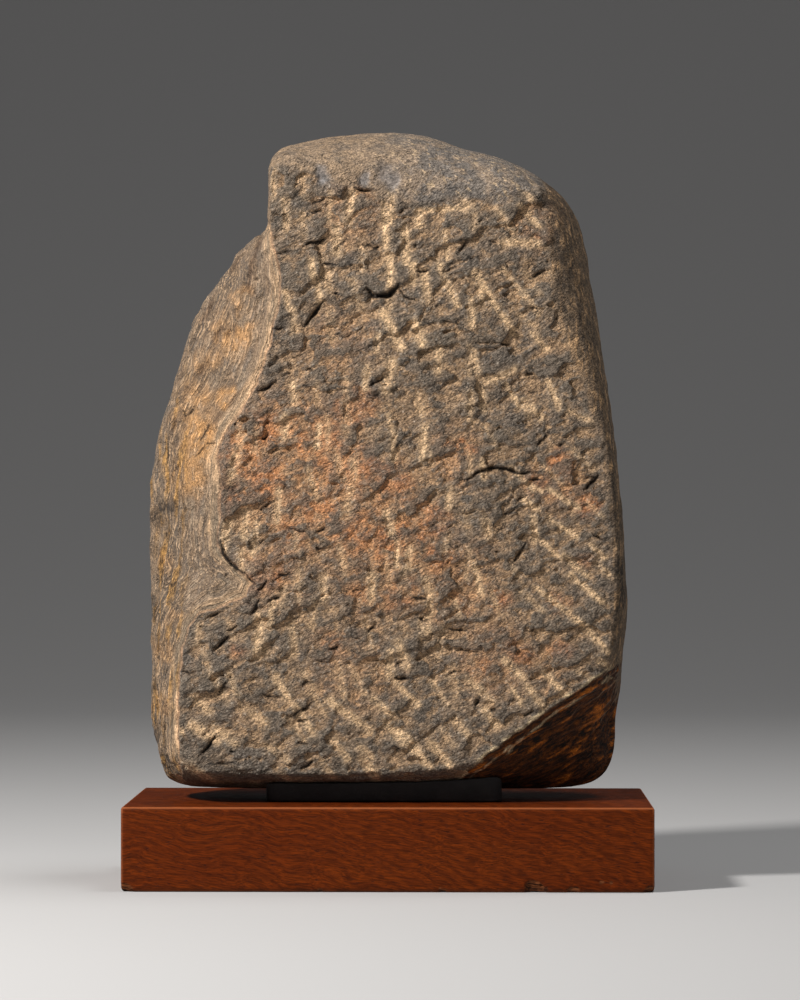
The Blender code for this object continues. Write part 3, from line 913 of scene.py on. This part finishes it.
# The facet's ridge crests are painted gold: painted highlight where the crests catch the light.
store(stone, "crest_highlight", ramp(crest + 0.3 * lumps(points, 16.0 * MM, 341), 0.40, 1.00))
store(stone, "lip", lip * ramp(lumps(points, 6.0 * MM, 343), -0.30, 0.25) * found["front"])
store(stone, "cap", share["cap"])
store(stone, "warm", 1.0 - ramp(points[:, 0] + 0.012 * rough_lumps(points, 0.03, 361, 2), -0.030, 0.030))
store(stone, "polish", spots(points, POLISHED_SPOTS, 351))
store(stone, "flank", np.clip(share["right"], 0.0, 1.0))
store(stone, "dark_spots", spots(points, DARK_SPOTS, 355))

# %% [markdown]
# ## Colours and nodes
#
# A colour is written here the way a paint chart gives it, from 0 to 255, and turned into the even
# scale that shaders use. Three small node groups are shared by all the materials: patches (soft
# noise cut to a mask), speckle (small separate dots), and grain (the fine height that feeds Bump).


# %% Node helpers
def tint(*chart):
    even = [((part / 255.0 + 0.055) / 1.055) ** 2.4 for part in chart]
    return (*even, 1.0)


def connect(tree, value, socket):
    if isinstance(value, bpy.types.NodeSocket):
        tree.links.new(value, socket)
    else:
        socket.default_value = value


def add_node(tree, kind, wires=None, **settings):
    node = tree.nodes.new(kind)
    for name, value in settings.items():
        setattr(node, name, value)
    for socket, value in (wires or {}).items():
        connect(tree, value, node.inputs[socket])
    return node


def combine(tree, operation, first, second, clamp=True):
    node = add_node(tree, "ShaderNodeMath", {0: first, 1: second}, operation=operation, use_clamp=clamp)
    return node.outputs[0]


def cover(tree, under, over, share):
    """Lays one colour over another where the mask says so."""
    node = add_node(tree, "ShaderNodeMix", {0: share, 6: under, 7: over}, data_type="RGBA")
    return node.outputs[2]


def grey(value):
    return (value, value, value, 1.0)


def shade(tree, colour, dark, light, share):
    """Makes a colour darker or lighter without changing its hue."""
    tone = cover(tree, grey(dark), grey(light), share)
    node = add_node(
        tree, "ShaderNodeMix", {0: 1.0, 6: colour, 7: tone}, data_type="RGBA", blend_type="MULTIPLY"
    )
    return node.outputs[2]


# %% Paint by masks, and place patterns
def mask_of(tree, name):
    return add_node(tree, "ShaderNodeAttribute", attribute_name=name).outputs["Fac"]


def paint(tree, under, over, mask, amount):
    """Lays a colour on where a stored mask, given by its name, or a pattern says so."""
    if isinstance(mask, str):
        mask = mask_of(tree, mask)
    return cover(tree, under, over, combine(tree, "MULTIPLY", mask, amount))


def broken_up(tree, name, pattern, least):
    """A stored mask cut up by a pattern that leaves at least this much of it everywhere."""
    return combine(tree, "MULTIPLY", mask_of(tree, name), combine(tree, "ADD", pattern, least))


def stretched(tree, place, factors):
    """The place squeezed along each axis, so that a pattern comes out long where a factor is small."""
    node = add_node(tree, "ShaderNodeVectorMath", {0: place, 1: factors}, operation="MULTIPLY")
    return node.outputs[0]


def turned(tree, place, angle):
    """The place turned about the front-to-back axis, for layers that climb or fall."""
    wires = {"Vector": place, "Angle": angle}
    return add_node(tree, "ShaderNodeVectorRotate", wires, rotation_type="Y_AXIS").outputs[0]


def raised(tree, height, extra, amount):
    """A height with so much of another one added."""
    wires = {0: extra, 1: amount, 2: height}
    return add_node(tree, "ShaderNodeMath", wires, operation="MULTIPLY_ADD").outputs[0]


# %% Make and use node groups
def use_group(tree, group, **wires):
    node = tree.nodes.new("ShaderNodeGroup")
    node.node_tree = group
    for name, value in wires.items():
        connect(tree, value, node.inputs[name.replace("_", " ").capitalize()])
    return node.outputs[0]


def new_group(name, inputs, output):
    """An empty node group: inputs are (name, socket kind, default), output is (name, socket kind)."""
    group = bpy.data.node_groups.new(name, "ShaderNodeTree")
    for title, kind, default in inputs:
        socket = group.interface.new_socket(title, in_out="INPUT", socket_type=kind)
        if default is not None:
            socket.default_value = default
    group.interface.new_socket(output[0], in_out="OUTPUT", socket_type=output[1])
    return group, group.nodes.new("NodeGroupInput"), group.nodes.new("NodeGroupOutput")


# %% Shared node groups
FLOAT, VECTOR = "NodeSocketFloat", "NodeSocketVector"
patches, given, made = new_group(
    "patches", (("Place", VECTOR, None), ("Size", FLOAT, 0.01), ("Low", FLOAT, 0.4), ("High", FLOAT, 0.6)),
    ("Mask", FLOAT),
)
per_metre = combine(patches, "DIVIDE", 1.0, given.outputs["Size"], clamp=False)
clouds = add_node(
    patches, "ShaderNodeTexNoise",
    {"Vector": given.outputs["Place"], "Scale": per_metre, "Detail": 3.0, "Roughness": 0.6},
)
cut = add_node(
    patches, "ShaderNodeMapRange",
    {"Value": clouds.outputs["Fac"], "From Min": given.outputs["Low"], "From Max": given.outputs["High"]},
)
patches.links.new(cut.outputs["Result"], made.inputs["Mask"])

speckle, given, made = new_group(
    "speckle", (("Place", VECTOR, None), ("Size", FLOAT, 0.003), ("Reach", FLOAT, 0.3)), ("Mask", FLOAT)
)
per_metre = combine(speckle, "DIVIDE", 1.0, given.outputs["Size"], clamp=False)
dots = add_node(speckle, "ShaderNodeTexVoronoi", {"Vector": given.outputs["Place"], "Scale": per_metre})
cut = add_node(
    speckle, "ShaderNodeMapRange",
    {"Value": dots.outputs["Distance"], "From Min": given.outputs["Reach"], "From Max": 0.0},
)
speckle.links.new(cut.outputs["Result"], made.inputs["Mask"])

grain, given, made = new_group("grain", (("Place", VECTOR, None), ("Size", FLOAT, 0.001)), ("Height", FLOAT))
per_metre = combine(grain, "DIVIDE", 1.0, given.outputs["Size"], clamp=False)
clouds = add_node(
    grain, "ShaderNodeTexNoise",
    {"Vector": given.outputs["Place"], "Scale": per_metre, "Detail": 2.0, "Roughness": 0.65},
)
grain.links.new(clouds.outputs["Fac"], made.inputs["Height"])
print("node groups:", [group.name for group in bpy.data.node_groups])


# %% Start and finish a material
def pattern(tree, place, size, low, high):
    """Soft patches of this size in metres; the lower low and high are, the more ground they cover."""
    return use_group(tree, patches, place=place, size=size, low=low, high=high)


def new_finish(piece, name):
    """A new material on the piece: its node tree, its shader, and the place on the piece."""
    finish = bpy.data.materials.new(name)
    finish.use_nodes = True
    piece.data.materials.append(finish)
    tree = finish.node_tree
    return tree, tree.nodes["Principled BSDF"], add_node(tree, "ShaderNodeTexCoord").outputs["Object"]


def give_bump(tree, shader, height, distance, strength, invert=False):
    wires = {"Height": height, "Distance": distance, "Strength": strength}
    bump = add_node(tree, "ShaderNodeBump", wires, invert=invert)
    tree.links.new(bump.outputs["Normal"], shader.inputs["Normal"])


# %% [markdown]
# ## Stone
#
# Dark grey-brown rock, close-grained, with orange-tan dust in every stroke. The layers go on in the
# order in which they came to be: bare rock, the broken surfaces, rust and dust; the darker spots and
# the near-black painted shade in the open slots go on last.

# %% Stone patterns
tree, shader, place = new_finish(stone, "volcanic stone")
along_layers = turned(tree, place, FABRIC_RISE)
layered = stretched(tree, along_layers, (0.52, 1.0, 1.0))
broad = pattern(tree, place, 0.030, 0.40, 0.62)
dusty = pattern(tree, place, 0.011, 0.46, 0.58)
middle = pattern(tree, place, 0.007, 0.40, 0.62)
small = pattern(tree, layered, 0.0022, 0.38, 0.62)
grit = pattern(tree, place, 0.0013, 0.42, 0.58)
tiny = pattern(tree, layered, 0.0009, 0.40, 0.60)

# %% Dressed face
rock = paint(tree, tint(113, 102, 91), tint(150, 122, 94), broad, 0.85)
rock = paint(tree, rock, tint(121, 108, 94), middle, 0.5)
rock = paint(tree, rock, tint(186, 150, 112), broken_up(tree, "valley", middle, 0.35), 0.65)
rock = paint(tree, rock, tint(186, 152, 116), dusty, 0.40)
rock = paint(tree, rock, tint(206, 146, 96), broken_up(tree, "glow", middle, 0.25), 0.60)
rock = paint(tree, rock, tint(204, 128, 76), broken_up(tree, "rust", middle, 0.2), 0.62)
rock = paint(tree, rock, tint(105, 96, 85), broken_up(tree, "land", broad, 0.4), 0.78)
rock = paint(tree, rock, tint(226, 190, 148), broken_up(tree, "stroke", middle, 0.8), 1.0)
# Pale specks: partly light crystals in the rock, partly painted glints.
dots = use_group(tree, speckle, place=place, size=0.0034, reach=0.28)
rock = paint(tree, rock, tint(206, 196, 182), dots, 0.35)
print("dressed face coloured,", len(tree.nodes), "nodes so far")

# %% [markdown]
# The long fracture's patterns follow its border, so its place is made of the stored distance from
# the border, the depth, and only a little of the height: noise read there comes out as long threads.

# %% Long fracture
axes = add_node(tree, "ShaderNodeSeparateXYZ", {0: place}).outputs
flowing = add_node(
    tree, "ShaderNodeCombineXYZ",
    {"X": combine(tree, "MULTIPLY", mask_of(tree, "past"), PAST_REACH), "Y": axes["Y"],
     "Z": combine(tree, "MULTIPLY", axes["Z"], 0.10, clamp=False)},
).outputs[0]
threads = pattern(tree, flowing, 0.0014, 0.40, 0.60)
bands = pattern(tree, flowing, 0.0045, 0.40, 0.60)
streaky = pattern(tree, stretched(tree, place, (1.0, 1.0, 0.25)), 0.0028, 0.46, 0.60)

broken = paint(tree, tint(156, 136, 114), tint(102, 92, 84), middle, 0.8)
broken = paint(tree, broken, tint(182, 150, 118), bands, 0.6)
broken = paint(tree, broken, tint(216, 162, 104), broken_up(tree, "sand", middle, 0.45), 0.9)
bare_colour = cover(tree, tint(84, 78, 73), tint(168, 140, 110), threads)
broken = paint(tree, broken, bare_colour, "bare", 0.85)
# Painted shade, with some dark grain, beside the crests.
broken = paint(tree, broken, tint(92, 68, 48), "ridge_shade_and_grain", 0.65)
strip_colour = cover(tree, tint(212, 174, 134), tint(160, 140, 116), bands)
broken = paint(tree, broken, strip_colour, "strip", 0.85)
ochre_colour = cover(tree, tint(206, 156, 88), tint(58, 41, 25), streaky)
ochre_colour = paint(tree, ochre_colour, tint(50, 36, 22), small, 0.55)
broken = paint(tree, broken, ochre_colour, "ochre", 0.8)
rim_colour = cover(tree, tint(208, 164, 128), tint(150, 116, 88), small)
broken = paint(tree, broken, rim_colour, "rim", 0.8)
rock = cover(tree, rock, broken, mask_of(tree, "fracture"))
print("long fracture coloured,", len(tree.nodes), "nodes so far")

# %% Facet
bedding = pattern(tree, stretched(tree, along_layers, (0.13, 0.6, 1.0)), 0.0016, 0.44, 0.60)
# The facet is dark brown; its orange is partly painted reflection of the red wood below, and the gold on the
# crests is painted highlight.
dark_break = cover(tree, tint(13, 7, 2), tint(62, 31, 6), middle)
dark_break = paint(tree, dark_break, tint(156, 86, 22), bedding, 0.38)
dark_break = paint(tree, dark_break, tint(222, 126, 34), broken_up(tree, "crest_highlight", small, 0.3), 0.90)
rock = cover(tree, rock, dark_break, mask_of(tree, "facet"))
rock = paint(tree, rock, tint(228, 202, 160), "lip", 0.92)
print("facet coloured,", len(tree.nodes), "nodes so far")

# %% Cap and right side
FLECK_LEAN = -0.9  # in radians
worn = cover(tree, tint(122, 112, 102), tint(148, 124, 98), mask_of(tree, "warm"))
worn = paint(tree, worn, tint(86, 80, 75), middle, 0.55)
worn = paint(tree, worn, tint(164, 138, 110), dusty, 0.45)
leaning = stretched(tree, turned(tree, place, FLECK_LEAN), (0.4, 1.0, 1.0))
cool_side = combine(tree, "SUBTRACT", 1.15, mask_of(tree, "warm"))
flecks = combine(tree, "MULTIPLY", pattern(tree, leaning, 0.0032, 0.57, 0.66), cool_side)
worn = paint(tree, worn, tint(200, 172, 136), flecks, 0.75)
rock = paint(tree, rock, worn, "cap", 0.95)
rock = paint(tree, rock, tint(114, 112, 112), "polish", 0.9)

flank = paint(tree, tint(118, 98, 76), tint(74, 62, 50), middle, 0.8)
flank = paint(tree, flank, tint(70, 56, 43), small, 0.40)
in_patches = combine(tree, "ADD", combine(tree, "MULTIPLY", dusty, 0.6), 0.15)
flank = paint(tree, flank, tint(206, 164, 118), streaky, in_patches)
rock = paint(tree, rock, flank, "flank", 0.9)
print("cap and right side coloured,", len(tree.nodes), "nodes so far")

# %% [markdown]
# Over all of it go the things that the rock's grain does to any colour: it makes it lighter and
# darker from grain to grain, and leaves a few hairlines. These change how bright the stone is, not
# its hue. The darker spots and the near-black painted shade in the open slots come last.

# %% Dark spots, grain, and painted shade in the slots
rock = shade(tree, rock, 1.0, 0.30, broken_up(tree, "dark_spots", small, 0.5))
flow_share = combine(tree, "MULTIPLY", mask_of(tree, "fracture"), 0.7)
rock = shade(tree, rock, 1.10, 0.68, cover(tree, small, bands, flow_share))
rock = shade(tree, rock, 0.72, 1.42, cover(tree, tiny, threads, flow_share))
rock = shade(tree, rock, 1.08, 0.70, grit)
lines = add_node(tree, "ShaderNodeTexNoise", {"Vector": layered, "Scale": 170.0, "Detail": 3.0})
around_line = combine(tree, "SUBTRACT", lines.outputs["Fac"], 0.5, clamp=False)
off_line = combine(tree, "ABSOLUTE", around_line, 0.0, clamp=False)
thin_line = add_node(tree, "ShaderNodeMapRange", {"Value": off_line, "From Min": 0.016, "From Max": 0.0})
sparse = pattern(tree, place, 0.009, 0.52, 0.60)
hairline = combine(tree, "MULTIPLY", thin_line.outputs["Result"], sparse)
rock = paint(tree, rock, tint(44, 34, 26), hairline, 0.75)
# Painted shade: near-black in the open slots beside the ledges.
rock = paint(tree, rock, tint(12, 9, 7), "slot_shade", 1.0)
tree.links.new(rock, shader.inputs["Base Color"])

# %% Gloss and fine height
shine = cover(tree, grey(0.86), grey(0.62), mask_of(tree, "cap"))
shine = cover(tree, shine, grey(0.42), mask_of(tree, "polish"))
tree.links.new(shine, shader.inputs["Roughness"])
coarse = use_group(tree, grain, place=layered, size=0.0026)
fine = use_group(tree, grain, place=layered, size=0.0009)
height = raised(tree, raised(tree, fine, coarse, 1.6), hairline, -0.5)
height = cover(tree, height, threads, combine(tree, "MULTIPLY", mask_of(tree, "fracture"), 0.6))
calm = combine(tree, "ADD", mask_of(tree, "polish"), combine(tree, "MULTIPLY", mask_of(tree, "cap"), 0.35))
height = combine(tree, "MULTIPLY", height, combine(tree, "SUBTRACT", 1.0, calm), clamp=False)
give_bump(tree, shader, height, distance=0.0018, strength=1.0)
shader.inputs["Specular IOR Level"].default_value = 0.35
make_active(stone)
bpy.ops.object.shade_smooth()
print("stone material:", len(tree.nodes), "nodes")

# %% [markdown]
# ## Pad
#
# The stone does not stand on the wood itself. A dark pad, cut to the shape of its underside, carries
# it. The construction model already holds that fit, so its mesh is the start; the remesh and a few
# rounds of smoothing take the hard edge off, as in a thing that was filed by hand.

# %% Pad
pad = copy_of("cradle", "pad")
apply_modifier(pad, "REMESH", mode="VOXEL", voxel_size=0.8 * MM)
apply_modifier(pad, "SMOOTH", factor=0.5, iterations=3)
points = points_of(pad)
dents = 0.12 * MM * rough_lumps(points, 9.0 * MM, 401, 2)
move_points(pad, points + normals_of(pad) * np.minimum(dents, 0.0)[:, None])
apply_modifier(pad, "DECIMATE", ratio=0.4)
make_active(pad)
bpy.ops.object.shade_smooth()

# %% Pad material
tree, shader, place = new_finish(pad, "dark pad")
colour = paint(tree, tint(24, 24, 25), tint(44, 43, 42), pattern(tree, place, 0.012, 0.45, 0.75), 0.6)
tree.links.new(colour, shader.inputs["Base Color"])
shader.inputs["Roughness"].default_value = 0.75
give_bump(tree, shader, use_group(tree, grain, place=place, size=0.0012), distance=0.0003, strength=0.5)
print("pad:", triangle_count(pad), "triangles")

# %% [markdown]
# ## Wooden base
#
# A solid block of red-brown hardwood, planed flat, with its edges just broken. Years of handling
# rounded the bottom edge and knocked a few chips out of it. A cube pulled to size is the start; a
# remesh gives it enough points for worn edges, and thinning afterwards puts the flat faces back to
# a few large triangles.

# %% Block
low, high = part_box("wooden_base")
low, high = np.array(low), np.array(high)
bpy.ops.mesh.primitive_cube_add(size=1.0, location=tuple((low + high) / 2.0))
block = bpy.context.object
block.name = "block"
block.scale = tuple(high - low - 0.02 * MM)
make_active(block)
bpy.ops.object.transform_apply(location=True, rotation=True, scale=True)
apply_modifier(block, "REMESH", mode="VOXEL", voxel_size=1.0 * MM)

CHIPS = (  # along the lower front edge: x, z, radius and depth, in millimetres
    (88.0, 3.0, 5.5, 2.6), (92.5, 1.5, 3.5, 2.0), (84.5, 1.0, 3.0, 1.6), (110.5, 1.5, 3.2, 1.8),
    (128.5, 6.3, 1.2, 0.6), (133.5, 5.6, 1.1, 0.6), (-158.5, 1.5, 5.0, 2.2), (-40.0, 0.5, 2.0, 0.7),
    (33.0, 0.4, 2.4, 0.8), (158.5, 1.0, 4.0, 1.8),
)
KNOT = (62.8 * MM, 29.6 * MM)


def worn_block(points):
    """Rounds the edges by an amount that wanders, and takes the chips out of the lower edge."""
    wander = 0.5 + 0.5 * rough_lumps(points, 22.0 * MM, 421, 3)
    radius = (0.55 + 0.35 * wander) * MM
    lower_front = (1.0 - ramp(points[:, 2], 1.0 * MM, 6.0 * MM)) * ramp(-points[:, 1], 0.070, 0.078)
    radius += lower_front * (0.5 + 0.7 * wander) * MM
    radius += ramp(points[:, 0], 0.154, 0.159) * lower_front * 1.6 * MM
    inner_low, inner_high = low + radius[:, None], high - radius[:, None]
    core = np.clip(points, inner_low, inner_high)
    out = points - core
    length = np.maximum(np.linalg.norm(out, axis=1), 1e-9)
    rounded = core + out / length[:, None] * np.minimum(length, radius)[:, None]
    broken = np.zeros(len(points))
    ragged = warped(points, 0.9 * MM, 3.0 * MM, 431) / MM
    for x, z, reach, depth in CHIPS:
        place = np.array([x, -80.0, z])
        away = np.linalg.norm((ragged - place) * np.array([0.8, 1.0, 1.2]), axis=1) / reach
        bite = np.clip(1.0 - away, 0.0, 1.0) ** 0.7
        rounded[:, 1] += depth * MM * bite * 0.8
        rounded[:, 2] += depth * MM * bite * (0.6 if z < 4.0 else 0.0)
        broken = np.maximum(broken, ramp(bite, 0.0, 0.25))
    return rounded, broken


points = points_of(block)
moved, _ = worn_block(points)
around_knot = np.hypot(points[:, 0] - KNOT[0], (points[:, 2] - KNOT[1]) * 0.8)
moved[:, 1] += 0.5 * MM * (1.0 - ramp(around_knot, 0.4 * MM, 2.2 * MM)) * (points[:, 1] < -0.079)
move_points(block, moved)
apply_modifier(block, "DECIMATE", ratio=60000 / triangle_count(block))
make_active(block)
bpy.ops.object.shade_smooth_by_angle(angle=math.radians(35.0))
print("block:", triangle_count(block), "triangles")

# %% [markdown]
# ## Wood
#
# The figure is what growth rings look like when a saw cuts them at a slant: soft bands that sweep
# down to the right. Over them lie fine grain that slants a little, short open pores, and pale edges
# that are partly rubbed wear and partly painted highlight, palest along the top; the chips show
# broken fibres, and the foot is painted darker as painted shade where it meets the floor.

# %% Wood masks
points = points_of(block)
_, broken = worn_block(points)
inside = np.sort(np.minimum(points - low, high - points), axis=1)
arris = 1.0 - ramp(inside[:, 1], 0.5 * MM, 1.6 * MM)
top_edge = arris * ramp(points[:, 2], high[2] - 4.0 * MM, high[2] - 1.0 * MM)
store(block, "broken", broken)
# Pale edges: rubbed wear, and painted highlight that is strongest along the top edge.
store(block, "edge_wear_and_highlight", np.maximum(top_edge, arris * 0.45) * (1.0 - broken))
# Painted shade: the bottom few millimetres are darker where the block meets the floor.
store(block, "foot_shade", (1.0 - ramp(points[:, 2], 0.5 * MM, 3.0 * MM)) * 0.8)

# %% Wood patterns
tree, shader, place = new_finish(block, "red-brown hardwood")
drift = add_node(tree, "ShaderNodeTexNoise", {"Vector": place, "Scale": 22.0, "Detail": 2.0}).outputs["Color"]


def drifted(reach):
    """The place pulled about by a slow noise, since no line in wood runs quite straight."""
    wires = {0: drift, 1: (reach, reach, reach), 2: place}
    return add_node(tree, "ShaderNodeVectorMath", wires, operation="MULTIPLY_ADD").outputs[0]


FROM_HEART = (0.190, 0.0, 0.120)  # the rings' heart lies outside the block, low on its left
GRAIN_SLANT = -0.14  # in radians, falling to the right
centred = add_node(tree, "ShaderNodeVectorMath", {0: drifted(0.030), 1: FROM_HEART}, operation="ADD")
rings = add_node(
    tree, "ShaderNodeTexWave",
    {"Vector": stretched(tree, centred.outputs[0], (0.55, 0.35, 1.0)), "Scale": 62.0, "Distortion": 2.2,
     "Detail": 2.0, "Detail Scale": 3.0},
    wave_type="RINGS", rings_direction="Y",
)
band = add_node(tree, "ShaderNodeMapRange", {"Value": rings.outputs["Fac"], "From Min": 0.2, "From Max": 0.9})
slanted = turned(tree, drifted(0.014), GRAIN_SLANT)
fibres = pattern(tree, stretched(tree, slanted, (0.045, 0.8, 1.0)), 0.0010, 0.40, 0.62)
fine_fibres = pattern(tree, stretched(tree, slanted, (0.07, 1.0, 1.0)), 0.0006, 0.40, 0.60)
broad = pattern(tree, stretched(tree, place, (0.25, 1.0, 1.0)), 0.022, 0.38, 0.62)
pores = pattern(tree, stretched(tree, place, (0.16, 1.0, 1.0)), 0.0009, 0.62, 0.70)

# %% Wood material
wood = paint(tree, tint(97, 38, 5), tint(110, 48, 9), broad, 0.4)
wood = paint(tree, wood, tint(66, 25, 6), band.outputs["Result"], 0.42)
wood = paint(tree, wood, tint(52, 18, 3), fibres, 0.32)
wood = shade(tree, wood, 0.66, 1.30, fine_fibres)
wood = paint(tree, wood, tint(34, 12, 5), pores, 0.85)
# Pale edges: rubbed wear and painted highlight.
wood = paint(tree, wood, tint(168, 98, 58), "edge_wear_and_highlight", 0.75)
chip_colour = cover(tree, tint(34, 16, 8), tint(118, 68, 38), fibres)
wood = cover(tree, wood, chip_colour, mask_of(tree, "broken"))
# Painted shade along the foot.
wood = paint(tree, wood, tint(36, 18, 11), "foot_shade", 0.7)
tree.links.new(wood, shader.inputs["Base Color"])
tree.links.new(cover(tree, grey(0.46), grey(0.62), fibres), shader.inputs["Roughness"])
dip = combine(tree, "ADD", pores, combine(tree, "MULTIPLY", fibres, 0.3))
give_bump(tree, shader, dip, distance=0.0002, strength=0.6, invert=True)
shader.inputs["Specular IOR Level"].default_value = 0.07
print("wood material:", len(tree.nodes), "nodes")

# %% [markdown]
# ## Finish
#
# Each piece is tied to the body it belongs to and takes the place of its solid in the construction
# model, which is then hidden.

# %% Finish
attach(stone, BODY)
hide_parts("stele")
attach(pad, BODY)
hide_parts("cradle")
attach(block, BODY)
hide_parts("wooden_base")
